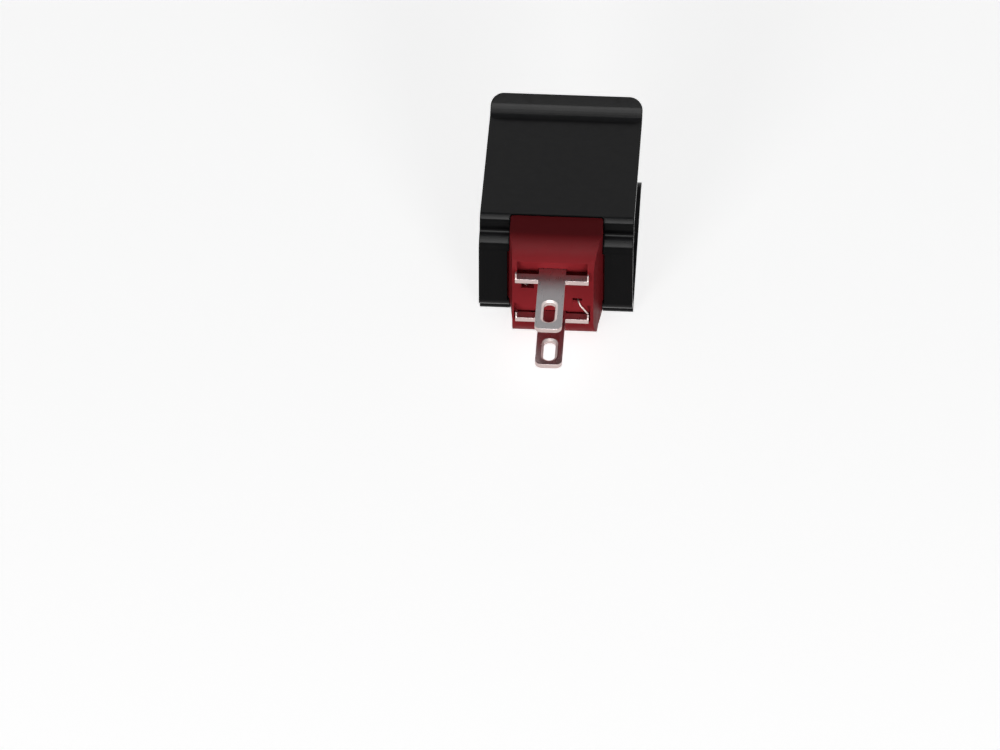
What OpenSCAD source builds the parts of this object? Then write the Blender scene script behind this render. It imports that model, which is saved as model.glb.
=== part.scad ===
// Clip-on pipe thermistor: a folded spring strip that snaps over a pipe, and a moulded
// housing in its bridge that carries two quick-connect tabs and a metal sensing cup.
// X runs across the strip, +Y points out of the jaws' mouth and +Z is up.
// The origin is on the surface that the clip lies on, under the middle of its outline.

/* [Spring clip] */
// Width of the strip
strip_w = 16; // [14:0.5:22]
// Thickness of the strip
strip_t = 0.5; // [0.4:0.05:0.6]
// Height of the bridge, over both its bends
bridge_h = 9; // [8:0.2:13]
// Outer radius of the two bends that end the bridge
bridge_bend_r = 1.3; // [0.8:0.1:1.4]
// Distance from the bridge's front face back to the front of the risers
riser_y = 1.75; // [1.7:0.05:2.4]
// Height of each riser, from the shoulder to the jaw's outer face
riser_h = 1.7; // [1.4:0.1:2.6]
// Hollow radius at the foot of each riser
foot_r = 0.3; // [0.2:0.05:0.35]
// Outer radius of the bend from riser to jaw
near_r = 0.9; // [0.7:0.05:1]
// Length of each jaw, from the riser's front to the throat
jaw_l = 19.6; // [15:0.2:26]
// Angle at which each jaw closes towards the throat
jaw_angle = 5; // [3:0.5:6]
// Hollow radius at the throat
throat_r = 2; // [1:0.1:2.4]
// Angle at which each lip opens
lip_angle = 50; // [40:1:60]
// Radius of the lips' corners
lip_corner_r = 1.4; // [0.5:0.1:1.6]
// Distance that the window runs past the riser's front into each jaw
window_past = 0.85; // [0.7:0.05:1.2]
// Corner radius of the window
window_corner_r = 0.3; // [0.2:0.05:0.8]
// Height of the window's wider stretch in the bridge
bridge_window_h = 6.6; // [4:0.1:6.6]

/* [Housing] */
// Width of the housing where it fills the window
body_w = 9.56; // [9:0.02:11]
// Width of the housing where it fills the window's wider stretch in the bridge
base_w = 9.96; // [9.6:0.02:11.4]
// Distance that this wider stretch of the housing stands in front of the bridge
base_out = 0.3; // [0.1:0.05:0.6]
// Width of the housing at its front face
face_w = 8.7; // [8.6:0.1:9]
// Distance from the front face to where the sides begin to flare
flare_y = 1.1; // [0.5:0.1:2]
// Distance that the front face stands in front of the bridge
face_out = 3.2; // [2.8:0.1:4.5]
// Radius of the rounded edges over and under the front face
nose_r = 3; // [1.5:0.1:3.5]
// Thickness of the flange behind the bridge
flange_t = 1.2; // [0.8:0.05:1.2]
// Width of the flange behind the bridge
flange_w = 12.6; // [12:0.1:13.5]
// Width of the block behind the risers
rear_w = 11; // [10.4:0.1:11.4]
// Distance from the bridge's front face to the back of that block
rear_y = 5.2; // [4.6:0.1:6]
// Outer diameter of the collar round the cup
collar_d = 8.6; // [8:0.1:9.6]
// Distance that the collar stands behind the block
collar_l = 1; // [0.5:0.1:1.2]
// Depth of the recesses round and over the crossbars
recess_depth = 0.9; // [0.7:0.05:1.1]
// Width of the recess over the upper crossbar
upper_recess_w = 7.3; // [6.6:0.1:7.8]

/* [Terminals] */
// Thickness of the terminals
tab_t = 0.5; // [0.4:0.05:0.8]
// Width of the tabs
tab_w = 2.8; // [2.2:0.1:3.4]
// Length of the upper tab, from the crossbar's front edge
upper_tab_l = 7.8; // [7.4:0.1:9.5]
// Length of the lower tab, from the crossbar's front edge
lower_tab_l = 7.4; // [7.3:0.1:9.5]
// Radius of the tabs' corners
tab_corner_r = 0.7; // [0.2:0.05:1]
// Width of the slot in each tab
slot_w = 1.5; // [1:0.05:1.6]
// Length of the slot in each tab
slot_l = 3.5; // [2:0.1:3.6]
// Distance from the crossbar's front edge to the slot
slot_from = 3.25; // [2.5:0.05:3.3]
// Width of the crossbars
bar_w = 7.6; // [6.8:0.1:7.7]
// Length of the crossbars, from front to back
bar_l = 1; // [0.8:0.05:1]
// Distance that the upper crossbar's front edge stands proud of the face
bar_proud = 1.05; // [1.05:0.05:1.5]
// Distance that the lower crossbar is set back from the upper one
lower_set_back = 0.6; // [0:0.05:0.7]
// Distance that both terminals lie to the left of the middle
terminal_left = 0.2; // [0:0.05:0.25]
// Depth in the face that the stem behind each crossbar reaches
stem_depth = 2; // [1.6:0.1:2.2]
// Height of each terminal's middle over or under the middle plane
terminal_z = 2.8; // [2.5:0.05:3.2]
// Height of the ears at the ends of the crossbars
ear_h = 0.5; // [0.3:0.05:0.7]
// Thickness of the ears
ear_t = 0.16; // [0.14:0.02:0.3]
// Length of the ears, from front to back
ear_l = 0.5; // [0.3:0.05:0.7]

/* [Sensing cup] */
// Outer diameter of the cup
cup_d = 6.4; // [5.6:0.1:7]
// Wall of the cup
cup_t = 0.4; // [0.25:0.05:0.5]
// Length of the cup
cup_l = 3.9; // [3.4:0.1:4.8]
// Outer radius round the cup's closed end
cup_corner_r = 0.8; // [0.6:0.05:1.2]
// Distance that the cup stands out of the collar
cup_proud = 0.7; // [0.4:0.1:1.2]
// Diameter of the thermistor bead
bead_d = 2; // [1.4:0.1:2.2]
// Distance from the bead to the cup's closed end
bead_gap = 0.3; // [0.2:0.05:0.6]
// Diameter of the lead wires
wire_d = 0.2; // [0.16:0.02:0.24]
// Distance between the leads at the bead
wire_pitch = 1; // [0.7:0.05:1.2]

/* [Fits] */
// Gap between housing and window, each side
window_gap = 0.07; // [0.04:0.01:0.2]
// Gap between the housing and the ends of the window
window_end_gap = 0.05; // [0.03:0.01:0.2]
// Gap between the cup and its bore
cup_gap = 0.05; // [0.03:0.01:0.1]
// Gap round the terminals in their slots
terminal_gap = 0.04; // [0.02:0.01:0.08]
// Gap round what the potting fills in
potting_gap = 0.02; // [0.01:0.01:0.04]

/* [Hidden] */
$fn = 96;
past = 1;

// Points of an arc round a centre, from one angle to another
function arc(centre, r, from, to, steps = 10) =
    [for (i = [0:steps]) centre + r * [cos(from + (to - from) * i / steps), sin(from + (to - from) * i / steps)]];
// The same line of points with its first and last stretches half as long again
function run_on(points) = let (last = len(points) - 1) concat([1.5 * points[0] - 0.5 * points[1]],
    [for (i = [1:last - 1]) points[i]], [1.5 * points[last] - 0.5 * points[last - 1]]);
function reversed(points) = [for (i = [len(points) - 1:-1:0]) points[i]];
function flipped(points) = [for (p = points) [p[0], -p[1]]];
function mirrored(points) = [for (p = points) [-p[0], p[1]]];

// Profile of the strip's upper half, as [y, z]
jaw_z = bridge_h / 2 + riser_h;
bridge_bend = [bridge_bend_r, bridge_h / 2 - bridge_bend_r];
foot_bend = [riser_y - foot_r, bridge_h / 2 + foot_r];
near_bend = [riser_y + near_r, jaw_z - near_r];
near_end = near_bend + near_r * [sin(jaw_angle), cos(jaw_angle)];
throat_tangent = throat_r * tan((jaw_angle + lip_angle) / 2);
jaw_run = (riser_y + jaw_l - near_end[0]) / cos(jaw_angle) - throat_tangent;
throat_start = near_end + jaw_run * [cos(jaw_angle), -sin(jaw_angle)];
throat_bend = throat_start + throat_r * [sin(jaw_angle), cos(jaw_angle)];
throat_end = throat_bend + throat_r * [sin(lip_angle), -cos(lip_angle)];
lip_run = (jaw_z - throat_end[1]) / sin(lip_angle);
lip_tip = throat_end + lip_run * [cos(lip_angle), sin(lip_angle)];

// One face of the strip: depth is 0 on the outer face and the strip's thickness on the inner one
function strip_face(depth) = concat(
    arc(bridge_bend, bridge_bend_r - depth, 180, 90),
    arc(foot_bend, foot_r + depth, 270, 360),
    arc(near_bend, near_r - depth, 180, 90 - jaw_angle),
    arc(throat_bend, throat_r + depth, 270 - jaw_angle, 270 + lip_angle),
    [lip_tip + depth * [sin(lip_angle), -cos(lip_angle)]]);
outer_face = strip_face(0);
inner_face = strip_face(strip_t);
strip_outline = concat(reversed(flipped(outer_face)), outer_face, reversed(inner_face), flipped(inner_face));

// Height of a jaw's inner face at a distance from the bridge's front
function jaw_inner_z(y) = near_end[1] - strip_t / cos(jaw_angle) - (y - near_end[0]) * tan(jaw_angle);

// The window in plan, as [x, y]
window_w = body_w + 2 * window_gap;
window_end = riser_y + window_past;
function rounded_end(w, end, r) = arc([w / 2 - r, end - r], r, 0, 90, 6);
window_side = concat([[window_w / 2, -past]], rounded_end(window_w, window_end, window_corner_r));

// Housing
body_under = 0.15;
body_h = 2 * (jaw_z - body_under);
body_back = window_end - window_end_gap;
face_y = -face_out;
rear_gap = 0.3;
rear_behind_riser = 0.15;
rear_front = riser_y + strip_t + rear_behind_riser;
rear_h = 2 * (jaw_inner_z(rear_y) - rear_gap);
flange_clear = 0.1;
flange_h = bridge_h - 2 * bridge_bend_r - 2 * flange_clear;
collar_back = rear_y + collar_l;

// Cup, bead and leads
cup_back = collar_back + cup_proud;
cup_front = cup_back - cup_l;
cup_bore_d = cup_d + 2 * cup_gap;
chamber_d = cup_d - 2 * cup_t;
chamber_l = 1.6;
bead_y = cup_back - cup_t - potting_gap - bead_gap - bead_d / 2;
bead_socket = 0.3;
lead_end_y = bead_y - sqrt(pow(bead_d / 2, 2) - pow(wire_pitch / 2, 2)) + bead_socket;

// Terminals
stem_back = face_y + stem_depth;
upper_front = face_y - bar_proud;
lower_front = upper_front + lower_set_back;
ear_from = 0.2;
ear_top = tab_t / 2 + ear_h;

// Tops of the recesses over the crossbars
lower_recess_w = bar_w + 0.3;
upper_recess_top = 4.35;
lower_recess_top = -1;

// Where the upper lead bends inside the chamber, and the holes that take the leads in, as two corners [x, z]
upper_lead_bend = (chamber_d / 2 - wire_d / 2 - 0.1) * [cos(150), sin(150)];
upper_lead_hole = [[-3.4, upper_lead_bend[1] - 0.2], [upper_lead_bend[0] + 0.15, 1.9]];
lower_lead_hole = [[1.9, -1.05], [2.9, -0.05]];

// The clip's outline runs from the upper tab's tip to the lips' inner corners
front_y = upper_front - upper_tab_l;
back_y = lip_tip[0] + strip_t * sin(lip_angle);

module place() translate([0, -(front_y + back_y) / 2, jaw_z]) children();
module across(w) rotate([90, 0, 90]) translate([0, 0, -w / 2]) linear_extrude(w) children();
module along_y(from, to) translate([0, from, 0]) rotate([-90, 0, 0]) linear_extrude(to - from) children();
module both_sides() { children(); mirror([1, 0, 0]) children(); }
module up_and_down() { children(); mirror([0, 0, 1]) children(); }

// A hole in the front face, given by two corners in the face and by where it ends
module face_hole(hole, to_y) translate([hole[0][0], face_y - past, hole[0][1]])
    cube([hole[1][0] - hole[0][0], to_y - face_y + past, hole[1][1] - hole[0][1]]);

// What is cut off the corner of a lip, seen square to the lip, whose edges the arc runs past at both ends
lip_corner = concat(
    [[lip_corner_r + past, -past / 4], [lip_corner_r + past, lip_corner_r + past], [-past / 4, lip_corner_r + past]],
    run_on(arc([0, 0], lip_corner_r, 90, 0)));
module lip_corner_cut() translate([0, lip_tip[0], lip_tip[1]]) rotate([lip_angle, 0, 0])
    translate([strip_w / 2 - lip_corner_r, -lip_corner_r, -2 * strip_t])
        linear_extrude(3 * strip_t) polygon(lip_corner);

module spring_clip() color("#202225") place() difference() {
    across(strip_w) polygon(strip_outline);
    translate([0, 0, -jaw_z - past]) linear_extrude(2 * (jaw_z + past))
        polygon(concat(window_side, reversed(mirrored(window_side))));
    block(base_w + 2 * window_gap, bridge_window_h, -past, strip_t + flange_clear);
    up_and_down() both_sides() lip_corner_cut();
}

module block(w, h, from, to) translate([-w / 2, from, -h / 2]) cube([w, to - from, h]);

// The housing's side profile, cut to its plan, which flares from the face to the window
nose = arc([face_y + nose_r, body_h / 2 - nose_r], nose_r, 90, 180, 14);
body_profile = concat([[body_back, body_h / 2]], nose, reversed(flipped(nose)), [[body_back, -body_h / 2]]);
body_side = concat([[face_w / 2, face_y], [face_w / 2 + 0.05, face_y + flare_y], [body_w / 2, -base_out]],
    rounded_end(body_w, body_back, window_corner_r));
module front_body() intersection() {
    across(body_w + past) polygon(body_profile);
    translate([0, 0, -body_h / 2 - past]) linear_extrude(body_h + 2 * past)
        polygon(concat(body_side, reversed(mirrored(body_side))));
}

module housing() color("#8c1a1f") place() difference() {
    union() {
        front_body();
        block(base_w, bridge_window_h - 2 * window_gap, -base_out, strip_t + past);
        block(flange_w, flange_h, strip_t, strip_t + flange_t);
        block(body_w, rear_h, 0, rear_y);
        block(rear_w, rear_h, rear_front, rear_y);
        along_y(rear_y - past, collar_back) circle(d = collar_d);
    }
    stem_slot(terminal_z);
    stem_slot(-terminal_z);
    bar_recess(terminal_z, upper_recess_w, upper_recess_top);
    bar_recess(-terminal_z, lower_recess_w, lower_recess_top);
    face_hole(upper_lead_hole, cup_front);
    face_hole(lower_lead_hole, cup_front);
    along_y(cup_front - chamber_l, cup_front + past) circle(d = chamber_d);
    along_y(cup_front, collar_back + past) circle(d = cup_bore_d);
}
module stem_slot(z) translate([-terminal_left - tab_w / 2 - terminal_gap, face_y, z - tab_t / 2 - terminal_gap])
    cube([tab_w + 2 * terminal_gap, stem_depth + terminal_gap, tab_t + 2 * terminal_gap]);
module bar_recess(z, w, top) translate([-terminal_left - w / 2, face_y - past, z - tab_t / 2 - terminal_gap])
    cube([w, recess_depth + past, top - z + tab_t / 2 + terminal_gap]);

// A terminal with its crossbar's front edge at y = 0: a tab in front, a stem behind and an ear at each end
module terminal(front, z, tab_l) translate([-terminal_left, front, z - tab_t / 2]) {
    tab_corner = arc([tab_w / 2 - tab_corner_r, tab_corner_r - tab_l], tab_corner_r, 0, -90, 6);
    stem_l = stem_back - front;
    difference() {
        linear_extrude(tab_t) union() {
            polygon(concat([[tab_w / 2, stem_l]], tab_corner, reversed(mirrored(tab_corner)), [[-tab_w / 2, stem_l]]));
            translate([-bar_w / 2, 0]) square([bar_w, bar_l]);
        }
        for (y = [slot_w / 2, slot_l - slot_w / 2])
            translate([0, -slot_from - y, -past]) cylinder(d = slot_w, h = tab_t + 2 * past);
        translate([-slot_w / 2, slot_w / 2 - slot_from - slot_l, -past])
            cube([slot_w, slot_l - slot_w, tab_t + 2 * past]);
    }
    both_sides() translate([bar_w / 2 - ear_t, ear_from, 0]) cube([ear_t, ear_l, tab_t + ear_h]);
}
module terminal_upper() color("#a9a6a4") place() terminal(upper_front, terminal_z, upper_tab_l);
module terminal_lower() color("#97908c") place() terminal(lower_front, -terminal_z, lower_tab_l);

// The cup's line from rim to closed end, as [radius, distance from the rim]
function cup_line(r, l, corner) = concat([[r, 0]], arc([r - corner, l - corner], corner, 0, 90, 6), [[0, l]]);
module cup_place() translate([0, cup_front, 0]) rotate([-90, 0, 0]) children();
module contact_cap() color("#b9babd") place() cup_place() rotate_extrude() polygon(concat(
    cup_line(cup_d / 2, cup_l, cup_corner_r),
    reversed(cup_line(cup_d / 2 - cup_t, cup_l - cup_t, cup_corner_r - cup_t))));

fill_r = cup_d / 2 - cup_t - potting_gap;
fill_l = cup_l - cup_t - potting_gap;
module potting_fill() color("#303033") place() difference() {
    cup_place() rotate_extrude() polygon(concat(cup_line(fill_r, fill_l, cup_corner_r - cup_t), [[0, 0]]));
    translate([0, bead_y, 0]) sphere(d = bead_d + 2 * potting_gap);
    both_sides() translate([wire_pitch / 2, 0, 0]) along_y(cup_front - past, bead_y)
        circle(d = wire_d + 2 * potting_gap);
}

module thermistor_bead() color("#3a2a22") place() difference() {
    translate([0, bead_y, 0]) sphere(d = bead_d);
    both_sides() translate([wire_pitch / 2, 0, 0]) along_y(cup_front, lead_end_y) circle(d = wire_d + potting_gap);
}

// A round wire swept along a route, with a ring of points square to the wire's heading at each corner
WIRE_SIDES = 12;
function unit(v) = v / norm(v);
function heading(route, i) =
    i == 0 ? unit(route[1] - route[0]) :
    i == len(route) - 1 ? unit(route[i] - route[i - 1]) :
    unit(unit(route[i + 1] - route[i]) + unit(route[i] - route[i - 1]));
function square_to(v, h) = unit(v - (v * h) * h);
function ring_sides(route, side, i = 0) = i == len(route) ? [] :
    let (s = square_to(side, heading(route, i))) concat([s], ring_sides(route, s, i + 1));
function wire_points(route, side) = let (sides = ring_sides(route, side))
    [for (i = [0:len(route) - 1], k = [0:WIRE_SIDES - 1])
        let (a = 360 * k / WIRE_SIDES, up = cross(heading(route, i), sides[i]))
        route[i] + wire_d / 2 * (cos(a) * sides[i] + sin(a) * up)];
function wire_faces(rings) = concat(
    [[for (k = [0:WIRE_SIDES - 1]) k]],
    [for (i = [0:rings - 2], k = [0:WIRE_SIDES - 1], half = [0, 1])
        let (a = i * WIRE_SIDES + k, b = i * WIRE_SIDES + (k + 1) % WIRE_SIDES)
        half == 0 ? [a, b + WIRE_SIDES, b] : [a, a + WIRE_SIDES, b + WIRE_SIDES]],
    [[for (k = [WIRE_SIDES - 1:-1:0]) (rings - 1) * WIRE_SIDES + k]]);
module wire(route) polyhedron(wire_points(route, [0, 0, 1]), wire_faces(len(route)));

// Each lead: from its crossbar's end, through its hole and the chamber, to the bead
wire_seat = wire_d / 2 + 0.01;
wire_before_face = face_y - wire_d / 2 - 0.05;
upper_lead_x = -terminal_left - bar_w / 2 + 0.3;
upper_lead_y = upper_front + 0.5;
upper_lead_z = terminal_z - tab_t / 2 - wire_seat;
lower_lead_x = -terminal_left + bar_w / 2 - ear_t / 2;
lower_lead_z = ear_top + wire_seat - terminal_z;
function lead_tail(side) = [[side * wire_pitch / 2, cup_front - 0.1, 0], [side * wire_pitch / 2, lead_end_y, 0]];
upper_route = concat(
    [[upper_lead_x, upper_lead_y, upper_lead_z], [upper_lead_x + 0.3, upper_lead_y, upper_lead_z],
     [-3.05, face_y - 0.3, 2], [-2.85, face_y + 0.05, 1.5], [-2.6, face_y + 0.8, 1.4],
     [upper_lead_bend[0], cup_front - chamber_l + 0.4, upper_lead_bend[1]]],
    lead_tail(-1));
lower_route = concat(
    [[lower_lead_x, wire_before_face, lower_lead_z], [lower_lead_x - 0.1, wire_before_face, lower_lead_z + 0.1],
     [2.75, wire_before_face, -0.92], [2.5, face_y + 0.25, -0.62], [2.25, cup_front - chamber_l + 0.4, -0.55]],
    lead_tail(1));
module lead_wire_upper() color("#c9c5c0") place() wire(upper_route);
module lead_wire_lower() color("#c9c5c0") place() wire(lower_route);

spring_clip();
housing();
contact_cap();
terminal_upper();
terminal_lower();
thermistor_bead();
lead_wire_upper();
lead_wire_lower();
potting_fill();
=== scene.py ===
"""Looks of the clip-on thermistor: a black sprung strip, a red moulded housing and tinned tabs."""

import math

import bmesh
import bpy
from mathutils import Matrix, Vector


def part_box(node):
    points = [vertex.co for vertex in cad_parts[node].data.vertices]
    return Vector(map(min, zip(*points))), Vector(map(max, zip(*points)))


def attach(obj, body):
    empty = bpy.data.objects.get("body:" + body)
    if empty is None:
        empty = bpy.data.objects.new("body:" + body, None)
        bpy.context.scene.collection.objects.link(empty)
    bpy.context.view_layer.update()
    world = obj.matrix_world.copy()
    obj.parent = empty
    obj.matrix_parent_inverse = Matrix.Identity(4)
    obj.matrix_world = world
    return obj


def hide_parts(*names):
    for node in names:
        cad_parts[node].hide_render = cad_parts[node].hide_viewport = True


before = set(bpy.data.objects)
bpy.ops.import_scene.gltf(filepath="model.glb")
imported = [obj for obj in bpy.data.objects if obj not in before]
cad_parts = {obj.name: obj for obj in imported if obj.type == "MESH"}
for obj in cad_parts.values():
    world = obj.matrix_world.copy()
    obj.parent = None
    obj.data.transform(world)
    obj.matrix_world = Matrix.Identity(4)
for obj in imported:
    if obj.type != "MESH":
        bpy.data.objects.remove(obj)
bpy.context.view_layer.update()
MM = 0.001
ROOT = "root"


def direction(azimuth, elevation):
    """The way out to a camera or lamp: azimuth 0 is along -Y, in front, and 90 is along +X."""
    a, e = math.radians(azimuth), math.radians(elevation)
    return Vector((math.sin(a) * math.cos(e), -math.cos(a) * math.cos(e), math.sin(e)))


# Camera: the photograph's angle, scale and framing

IMAGE_W, IMAGE_H = 1000, 750
VIEW_AZIMUTH, VIEW_ELEVATION = 3.2, 40.0
PX_PER_MM = 9.64
CAMERA_DISTANCE = 1.0
CLIP_START, CLIP_END = 0.01, 20
SENSOR = 36.0
# Where the middle of the bridge's front face lies in the photograph
BRIDGE_PX = (555.7, 277.5)


def add_camera():
    clip_low, clip_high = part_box("spring_clip")
    bridge = Vector((0, clip_low.y, (clip_low.z + clip_high.z) / 2))
    a = math.radians(VIEW_AZIMUTH)
    right = Vector((math.cos(a), math.sin(a), 0))
    back = direction(VIEW_AZIMUTH, VIEW_ELEVATION)
    up = back.cross(right)
    off_right = (BRIDGE_PX[0] - IMAGE_W / 2) / PX_PER_MM * MM
    off_up = (IMAGE_H / 2 - BRIDGE_PX[1]) / PX_PER_MM * MM
    aim = bridge - right * off_right - up * off_up
    data = bpy.data.cameras.new("camera")
    data.sensor_width = SENSOR
    data.lens = SENSOR * CAMERA_DISTANCE / (IMAGE_W / PX_PER_MM * MM)
    data.clip_start, data.clip_end = CLIP_START, CLIP_END
    camera = bpy.data.objects.new("camera", data)
    camera.rotation_mode = "QUATERNION"
    camera.location = aim + back * CAMERA_DISTANCE
    camera.rotation_quaternion = (-back).to_track_quat("-Z", "Y")
    bpy.context.scene.collection.objects.link(camera)
    bpy.context.scene.camera = camera


# Node trees


def mapped(tree, value, low, high, out_low, out_high, interpolation="LINEAR"):
    """Maps a value from one range to another; beyond its ends it stays level."""
    node = tree.nodes.new("ShaderNodeMapRange")
    node.interpolation_type = interpolation
    numbers = {"From Min": low, "From Max": high, "To Min": out_low, "To Max": out_high}
    for name, number in numbers.items():
        node.inputs[name].default_value = number
    tree.links.new(value, node.inputs["Value"])
    return node.outputs["Result"]


def combined(tree, operation, *values):
    """A math node on values that are numbers or other nodes' outputs."""
    node = tree.nodes.new("ShaderNodeMath")
    node.operation = operation
    for socket, value in zip(node.inputs, values):
        if isinstance(value, (int, float)):
            socket.default_value = value
        else:
            tree.links.new(value, socket)
    return node.outputs[0]


class Nodes:
    """A material's node tree with short calls for what the finishes here share."""

    def __init__(self, name):
        self.material = bpy.data.materials.new(name)
        self.material.use_nodes = True
        self.tree = self.material.node_tree
        self.shader = self.tree.nodes["Principled BSDF"]
        self.place = self.tree.nodes.new("ShaderNodeTexCoord").outputs["Object"]

    def facing_up(self):
        """1 where the surface faces up, 0 where it is upright and -1 where it faces down."""
        split = self.tree.nodes.new("ShaderNodeSeparateXYZ")
        normal = self.tree.nodes.new("ShaderNodeTexCoord").outputs["Normal"]
        self.tree.links.new(normal, split.inputs[0])
        return split.outputs["Z"]

    def stretched(self, scale):
        mapping = self.tree.nodes.new("ShaderNodeMapping")
        mapping.inputs["Scale"].default_value = scale
        self.tree.links.new(self.place, mapping.inputs["Vector"])
        return mapping.outputs["Vector"]

    def noise(self, size_mm, detail=3.0, vector=None):
        """Noise between 0 and 1 whose grain has about the given size."""
        node = self.tree.nodes.new("ShaderNodeTexNoise")
        node.inputs["Scale"].default_value = 1 / (size_mm * MM)
        node.inputs["Detail"].default_value = detail
        self.tree.links.new(vector or self.place, node.inputs["Vector"])
        return node.outputs["Fac"]

    def ramp(self, value, low, high, out_low=0.0, out_high=1.0):
        return mapped(self.tree, value, low, high, out_low, out_high, "SMOOTHSTEP")

    def mix(self, factor, a, b):
        """Mixes two colours, which are tuples or other nodes' outputs."""
        node = self.tree.nodes.new("ShaderNodeMix")
        node.data_type = "RGBA"
        self.tree.links.new(factor, node.inputs[0])
        colour_inputs = [s for s in node.inputs if s.type == "RGBA"]
        for socket, colour in zip(colour_inputs, (a, b)):
            if isinstance(colour, tuple):
                socket.default_value = (*colour, 1.0)
            else:
                self.tree.links.new(colour, socket)
        return next(s for s in node.outputs if s.type == "RGBA")

    def bump(self, height, depth_mm, strength, below=None):
        node = self.tree.nodes.new("ShaderNodeBump")
        node.inputs["Strength"].default_value = strength
        node.inputs["Distance"].default_value = depth_mm * MM
        self.tree.links.new(height, node.inputs["Height"])
        if below is not None:
            self.tree.links.new(below, node.inputs["Normal"])
        return node.outputs["Normal"]

    def finish(self, colour, roughness, normal, **constants):
        """The material with these on its shader; an underscore in a constant's name is a space."""
        linked = {"Base Color": colour, "Roughness": roughness, "Normal": normal}
        for name, source in linked.items():
            self.tree.links.new(source, self.shader.inputs[name])
        for name, value in constants.items():
            self.shader.inputs[name.replace("_", " ")].default_value = value
        return self.material


# Materials

# The stretches of the noise that the roughness ramps spread out
MOST_NOISE = (0.3, 0.7)
MOST_STREAKS = (0.25, 0.75)
# How far up a surface faces where the painted sheen comes in, and how level it is where the tin
# does
PAINTED_SHEEN_UP = (0.9, 0.995)
TINNED = (0.5, 0.85)
# Rolling draws the metal's grain out along Y
ROLLED = (1.0, 0.12, 1.0)


def black_coating():
    """A thin satin coating, lighter on what faces up: a painted sheen for the light the top
    catches.
    """
    n = Nodes("black_coating")
    coat = n.mix(n.noise(4.0, detail=2.0), (0.0026, 0.0026, 0.0028), (0.0042, 0.0042, 0.0045))
    # Painted sheen: faces that look up get a lighter colour in place of the light they catch
    painted_top_sheen = n.mix(n.noise(1.6, detail=5.0), (0.022, 0.022, 0.024), (0.034, 0.034, 0.036))
    colour = n.mix(n.ramp(n.facing_up(), *PAINTED_SHEEN_UP), coat, painted_top_sheen)
    roughness = n.ramp(n.noise(0.9, detail=4.0), *MOST_NOISE, 0.14, 0.2)
    peel = n.bump(n.noise(0.5, detail=2.0), depth_mm=0.0006, strength=0.4)
    grain = n.bump(n.noise(0.06, detail=2.0), depth_mm=0.0004, strength=0.4, below=peel)
    return n.finish(colour, roughness, grain, Specular_IOR_Level=0.06)


def red_plastic():
    n = Nodes("red_plastic")
    colour = n.mix(n.noise(3.0, detail=2.0), (0.222, 0.016, 0.020), (0.246, 0.019, 0.024))
    roughness = n.ramp(n.noise(0.5, detail=4.0), *MOST_NOISE, 0.36, 0.46)
    grain = n.bump(n.noise(0.12), depth_mm=0.002, strength=0.4)
    waves = n.bump(n.noise(1.4, detail=1.0), depth_mm=0.02, strength=0.25, below=grain)
    return n.finish(colour, roughness, waves, Specular_IOR_Level=0.03)


def rolled_metal(name, tint_low, tint_high, cut=None, rough=(0.12, 0.2)):
    """Metal with fine rolling streaks; cut is the colour of its sheared, upright edges."""
    n = Nodes(name)
    streaks = n.noise(0.12, detail=4.0, vector=n.stretched(ROLLED))
    tint = n.mix(n.noise(0.8), tint_low, tint_high)
    if cut:
        flat = n.ramp(combined(n.tree, "ABSOLUTE", n.facing_up()), *TINNED)
        tint = n.mix(flat, cut, tint)
    roughness = n.ramp(streaks, *MOST_STREAKS, *rough)
    normal = n.bump(streaks, depth_mm=0.0002, strength=0.1)
    return n.finish(tint, roughness, normal, Metallic=1.0)


def potting_compound():
    n = Nodes("potting_compound")
    colour = n.mix(n.noise(0.6), (0.01, 0.01, 0.011), (0.02, 0.02, 0.022))
    roughness = n.ramp(n.noise(0.2), *MOST_NOISE, 0.5, 0.7)
    return n.finish(colour, roughness, n.bump(n.noise(0.3), depth_mm=0.01, strength=0.4))


def bead_coating():
    n = Nodes("bead_coating")
    colour = n.mix(n.noise(0.5), (0.05, 0.025, 0.015), (0.09, 0.045, 0.03))
    roughness = n.ramp(n.noise(0.2), *MOST_NOISE, 0.2, 0.35)
    return n.finish(colour, roughness, n.bump(n.noise(0.3), depth_mm=0.005, strength=0.4))


# Pieces: sizes are in millimetres, and tolerances in metres

WELD, SAME, NEAR = 1e-7, 1e-6, 1e-5
BEVEL_SEGMENTS = 3
# Edges that turn by more degrees than the first are rounded, and on wires than the second
CREASE, WIRE_CREASE = 30.0, 60.0
# Under this angle the edges of a slot's chamfer are shaded smooth
RIM_CREASE = 15
# Faces that meet at less than this angle are joined
FLAT = 0.3

# The tabs' middle, half the width of their slots, and how far from the tip the slots lie
TAB_X, SLOT_R = -0.2, 0.75
SLOT_FROM, SLOT_TO = 0.4, 5
# How far the slots are drawn in, and the width, depth and material index of their chamfer
SLOT_DRAWN_IN = 0.15
RIM_WIDTH, RIM_DEPTH = 0.25, 0.12
RIM_INDEX = 1

# The housing's shoulders: how far they stand before the bridge, and how far each is set back
# from which X on
SHOULDER_PROUD = 0.3
SHOULDER_X, SHOULDER_BACK = 4.7, 0.4
OUTER_SHOULDER_X, OUTER_SHOULDER_BACK = 4.9, 0.9
# The housing's low sides: the X they are drawn in to, how much of the rest stays, how far
# behind the bridge's face they end, and how far under its middle they begin
LOW_SIDE_X, LOW_SIDE_KEPT = 4.36, 0.2
LOW_SIDE_BEHIND, LOW_SIDE_UNDER = 0.2, 3.4
# The housing's right side: from which X on and how deep it is drawn in, and how steeply
RIGHT_X, RIGHT_DEPTH, RIGHT_SLOPE = 4.2, 1.1, 0.25
# Beyond this X the upright edges of the housing's face stay sharp
FACE_EDGE_X = 4

# The X at which faces stay cut
CLIP_CUTS = (-7.85, -5.15, 5.15, 7.85)
HOUSING_CUTS = (-2.8, TAB_X, 2.4)
TAB_CUTS = (TAB_X,)
POTTING_CUTS = (-0.5, 0, 0.5)


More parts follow.
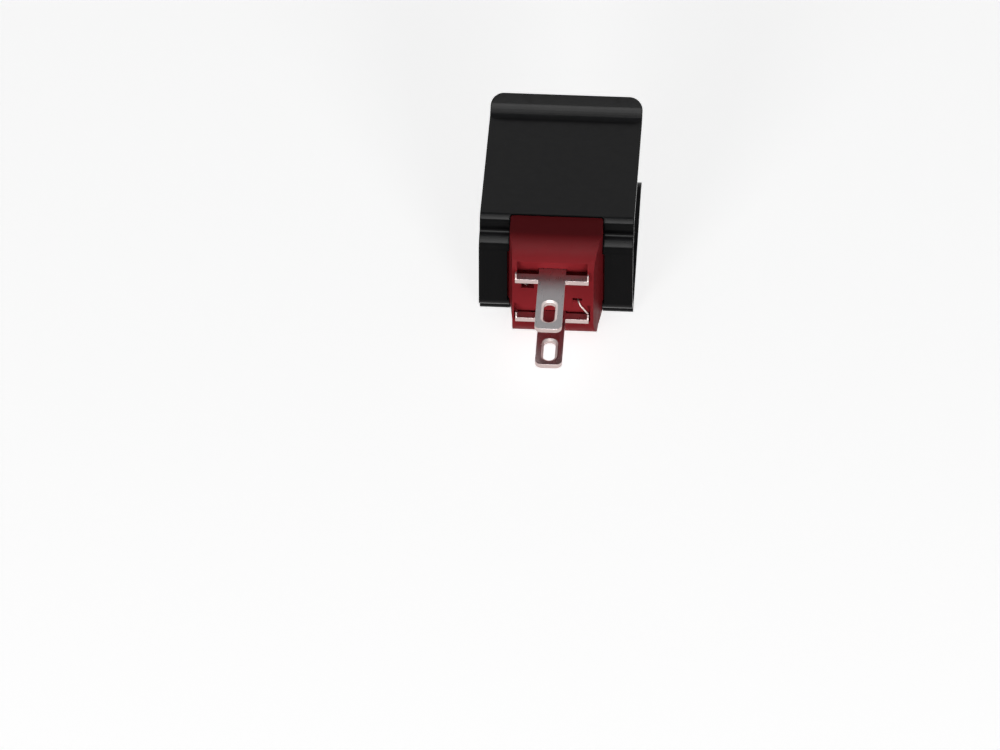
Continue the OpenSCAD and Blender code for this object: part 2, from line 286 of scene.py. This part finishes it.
def slot_verts(work):
    """The corners of the slot in a terminal's tab."""
    tip = min(v.co.y for v in work.verts)
    return [v for v in work.verts
            if abs(v.co.x - TAB_X * MM) < SLOT_R * MM + NEAR
            and SLOT_FROM * MM < v.co.y - tip < SLOT_TO * MM]


def weigh_edges(work, crease, left_out):
    """Marks the hard edges that the bevel rounds."""
    weight = work.edges.layers.float.new("bevel_weight_edge")
    for edge in work.edges:
        if edge not in left_out and len(edge.link_faces) == 2:
            edge[weight] = float(edge.calc_face_angle(0) > math.radians(crease))


def chamfer_slot(work, crease):
    """Draws a tab's slot in a little and gives it a shallow chamfer in the second material."""
    corners = slot_verts(work)
    low, high = (pick(v.co.y for v in corners) for pick in (min, max))
    top = max(v.co.z for v in corners)
    for v in corners:
        axis_y = min(max(v.co.y, low + SLOT_R * MM), high - SLOT_R * MM)
        on_axis = Vector((TAB_X * MM, axis_y, v.co.z))
        v.co += (on_axis - v.co).normalized() * SLOT_DRAWN_IN * MM
    rim = {v for v in corners if top - v.co.z < SAME}
    edges = [e for e in work.edges if all(v in rim for v in e.verts)]
    bevel = bmesh.ops.bevel(
        work, geom=edges, offset=RIM_WIDTH * MM, offset_type="OFFSET", segments=1, profile=0.5,
        affect="EDGES")
    for face in bevel["faces"]:
        face.material_index = RIM_INDEX
    for v in {v for face in bevel["faces"] for v in face.verts}:
        if top - v.co.z > SAME:
            v.co.z = top - RIM_DEPTH * MM
    sides = {e for face in bevel["faces"] for e in face.edges}
    for edge in sides:
        edge.smooth = (len(edge.link_faces) == 2
                       and edge.calc_face_angle(0) < math.radians(RIM_CREASE))
    weigh_edges(work, crease, sides)


def soften_sides(work, crease):
    """Sets the housing's shoulders back and draws its sides in at the face and the bottom."""
    clip_low, clip_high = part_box("spring_clip")
    bridge_y, level = clip_low.y, (clip_low.z + clip_high.z) / 2
    face_y = min(v.co.y for v in work.verts)
    for v in work.verts:
        side = abs(v.co.x)
        if side > SHOULDER_X * MM and abs(v.co.y - bridge_y + SHOULDER_PROUD * MM) < NEAR:
            outer = side > OUTER_SHOULDER_X * MM
            v.co.y += (OUTER_SHOULDER_BACK if outer else SHOULDER_BACK) * MM
        if (side > LOW_SIDE_X * MM and v.co.y < bridge_y + LOW_SIDE_BEHIND * MM
                and v.co.z < level - LOW_SIDE_UNDER * MM):
            v.co.x *= (LOW_SIDE_X * MM + LOW_SIDE_KEPT * (side - LOW_SIDE_X * MM)) / side
        if v.co.x > RIGHT_X * MM:
            v.co.x -= max(0.0, RIGHT_DEPTH * MM + face_y - v.co.y) * RIGHT_SLOPE
    weigh_edges(work, crease, {
        e for e in work.edges
        if all(v.co.y - face_y < NEAR and abs(v.co.x) > FACE_EDGE_X * MM for v in e.verts)
        and abs(e.verts[0].co.x - e.verts[1].co.x) < NEAR})


def welded(node, cuts_mm):
    """The corners and faces of a CAD node, with its flat faces joined but for the cuts."""
    work = bmesh.new()
    work.from_mesh(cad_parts[node].data)
    bmesh.ops.remove_doubles(work, verts=work.verts, dist=WELD)
    for x in cuts_mm:
        everything = work.verts[:] + work.edges[:] + work.faces[:]
        cut = bmesh.ops.bisect_plane(
            work, geom=everything, dist=WELD, plane_co=(x * MM, 0, 0), plane_no=(1, 0, 0))
        for part in cut["geom_cut"]:
            if isinstance(part, bmesh.types.BMEdge):
                part.seam = True
    bmesh.ops.dissolve_limit(
        work, angle_limit=math.radians(FLAT), verts=work.verts, edges=work.edges,
        delimit={"SEAM"})
    corners = [v.co.copy() for v in work.verts]
    work.verts.index_update()
    faces = [[v.index for v in f.verts] for f in work.faces]
    work.free()
    return corners, faces


def finished(node, materials, edge_mm, crease=CREASE, cuts_mm=(), reshape=None):
    """A welded copy of a CAD node with its hard edges rounded; it is shown in the node's place.

    cuts_mm are the X at which faces stay cut, so that none runs all round a hole or shades
    unevenly along a bend, and reshape changes the copy and weighs the edges that are rounded.
    """
    corners, faces = welded(node, cuts_mm)
    mesh = bpy.data.meshes.new(node + "_finished")
    mesh.from_pydata(corners, [], faces)
    piece = bpy.data.objects.new(node + "_finished", mesh)
    bpy.context.scene.collection.objects.link(piece)
    for material in materials:
        mesh.materials.append(material)
    if reshape:
        work = bmesh.new()
        work.from_mesh(mesh)
        reshape(work, crease)
        work.to_mesh(mesh)
        work.free()
    mesh.shade_smooth()
    bevel = piece.modifiers.new("edges", "BEVEL")
    bevel.width = edge_mm * MM
    bevel.segments = BEVEL_SEGMENTS
    bevel.limit_method = "WEIGHT" if reshape else "ANGLE"
    bevel.angle_limit = math.radians(crease)
    bevel.miter_outer = "MITER_ARC"
    shading = piece.modifiers.new("shading", "WEIGHTED_NORMAL")
    shading.keep_sharp = True
    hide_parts(node)
    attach(piece, ROOT)


# Light, floor and background: sizes are in metres and angles in degrees

# What the lamps are turned to
CENTRE = Vector((0, -0.002, 0.006))

# Two upright lamps in front, left and right of the camera
KEY_AZIMUTH, KEY_ELEVATION, KEY_DISTANCE = 21, 4, 0.6
KEY_WIDTH, KEY_HEIGHT = 0.17, 0.32
KEY_RADIANCE = 12.9

# Lamps overhead: where each begins, as an angle from the horizon in front, and its radiance
STRIPS = ((45, 13), (61, 10.5), (77, 7), (93, 4))
STRIP_ANGLE = 16
STRIP_DISTANCE, STRIP_WIDTH = 0.5, 0.16
# How far left of the middle they hang, as a part of their distance
STRIP_LEFT = 0.037

FLOOR_SIZE = 4
FLOOR_COLOUR = (0.8, 0.8, 0.8, 1)
FLOOR_ROUGHNESS = 0.9
# How strongly the floor shines to the camera, in reflections and through glass, on top of the
# light it gets; it gives the object no more diffuse light
FLOOR_GLOW = 0.8

WHITE = (1, 1, 1, 1)
# The world's strength as diffuse light
AMBIENT = 0.06
# In reflections the world is white up to the first angle and this dim from the second
WHITE_UP_TO = (31, 38)
STUDIO_ABOVE = 0.34


def lamp(name, place, width, height, radiance):
    """A rectangular area light at a place seen from CENTRE, turned to face it."""
    data = bpy.data.lights.new(name, "AREA")
    data.shape = "RECTANGLE"
    data.size, data.size_y = width, height
    data.energy = math.pi * radiance * width * height
    light = bpy.data.objects.new(name, data)
    light.location = CENTRE + place
    light.rotation_mode = "QUATERNION"
    light.rotation_quaternion = (-place).to_track_quat("-Z", "Y")
    bpy.context.scene.collection.objects.link(light)
    return light


def overhead_strip(low, radiance):
    """A lamp over the object that shows only in reflections."""
    middle, half = math.radians(low + STRIP_ANGLE / 2), math.radians(STRIP_ANGLE / 2)
    way = Vector((-STRIP_LEFT, -math.cos(middle), math.sin(middle)))
    depth = 2 * STRIP_DISTANCE * math.tan(half)
    light = lamp(f"overhead_{low}", way * STRIP_DISTANCE, STRIP_WIDTH, depth, radiance)
    light.visible_diffuse = False


def add_lamps():
    for name, azimuth in (("key_right", KEY_AZIMUTH), ("key_left", -KEY_AZIMUTH)):
        place = direction(azimuth, KEY_ELEVATION) * KEY_DISTANCE
        lamp(name, place, KEY_WIDTH, KEY_HEIGHT, KEY_RADIANCE)
    for low, radiance in STRIPS:
        overhead_strip(low, radiance)


def add_floor():
    bpy.ops.mesh.primitive_plane_add(size=FLOOR_SIZE, location=(0, 0, 0))
    floor = bpy.context.object
    floor.name = "floor"
    material = bpy.data.materials.new("floor")
    material.use_nodes = True
    tree = material.node_tree
    shader = tree.nodes["Principled BSDF"]
    shader.inputs["Base Color"].default_value = FLOOR_COLOUR
    shader.inputs["Roughness"].default_value = FLOOR_ROUGHNESS
    shader.inputs["Specular IOR Level"].default_value = 0.0
    shader.inputs["Emission Color"].default_value = WHITE
    ray = tree.nodes.new("ShaderNodeLightPath").outputs
    seen = combined(tree, "MAXIMUM", ray["Is Camera Ray"], ray["Is Glossy Ray"])
    seen = combined(tree, "MAXIMUM", seen, ray["Is Transmission Ray"])
    glow = combined(tree, "MULTIPLY", seen, FLOOR_GLOW)
    tree.links.new(glow, shader.inputs["Emission Strength"])
    floor.data.materials.append(material)


def add_world():
    """Faint light all round, white to the camera; reflections see it darken higher up."""
    world = bpy.data.worlds.new("studio")
    bpy.context.scene.world = world
    world.use_nodes = True
    tree = world.node_tree
    background = tree.nodes["Background"]
    background.inputs["Color"].default_value = WHITE
    ray = tree.nodes.new("ShaderNodeLightPath").outputs
    split = tree.nodes.new("ShaderNodeSeparateXYZ")
    tree.links.new(tree.nodes.new("ShaderNodeTexCoord").outputs["Generated"], split.inputs[0])
    low, high = (math.sin(math.radians(angle)) for angle in WHITE_UP_TO)
    studio = mapped(tree, split.outputs["Z"], low, high, 1.0, STUDIO_ABOVE)
    seen = combined(tree, "MAXIMUM", ray["Is Camera Ray"], ray["Is Transmission Ray"])
    mirrored = combined(tree, "MULTIPLY", ray["Is Glossy Ray"], studio)
    shown = combined(tree, "MAXIMUM", seen, mirrored)
    strength = combined(tree, "MAXIMUM", shown, AMBIENT)
    tree.links.new(strength, background.inputs["Strength"])


add_camera()

black = black_coating()
red = red_plastic()
tin = rolled_metal("tinned_tab", (0.48, 0.46, 0.47), (0.56, 0.54, 0.55),
                   cut=(0.60, 0.48, 0.46), rough=(0.27, 0.31))
plated = rolled_metal("plated_cup", (0.62, 0.61, 0.59), (0.70, 0.69, 0.67))
wire = rolled_metal("lead_wire", (0.44, 0.35, 0.33), (0.52, 0.42, 0.40), rough=(0.35, 0.45))
# The slots' chamfer is coloured lighter than the tab's tin and cut edges: a painted highlight
# along the rim
rim = rolled_metal("slot_rim_painted_highlight", (0.74, 0.66, 0.64), (0.82, 0.74, 0.72), rough=(0.45, 0.55))

finished("spring_clip", [black], edge_mm=0.06, cuts_mm=CLIP_CUTS)
finished("housing", [red], edge_mm=0.05, cuts_mm=HOUSING_CUTS,
         reshape=soften_sides)
finished("contact_cap", [plated], edge_mm=0.04)
for node in ("terminal_upper", "terminal_lower"):
    finished(node, [tin, rim], edge_mm=0.02, cuts_mm=TAB_CUTS,
             reshape=chamfer_slot)
for node in ("lead_wire_upper", "lead_wire_lower"):
    finished(node, [wire], edge_mm=0.02, crease=WIRE_CREASE)
finished("potting_fill", [potting_compound()], edge_mm=0.02, cuts_mm=POTTING_CUTS)
finished("thermistor_bead", [bead_coating()], edge_mm=0.02)

add_lamps()
add_floor()
add_world()

bpy.context.scene.view_settings.view_transform = "Standard"
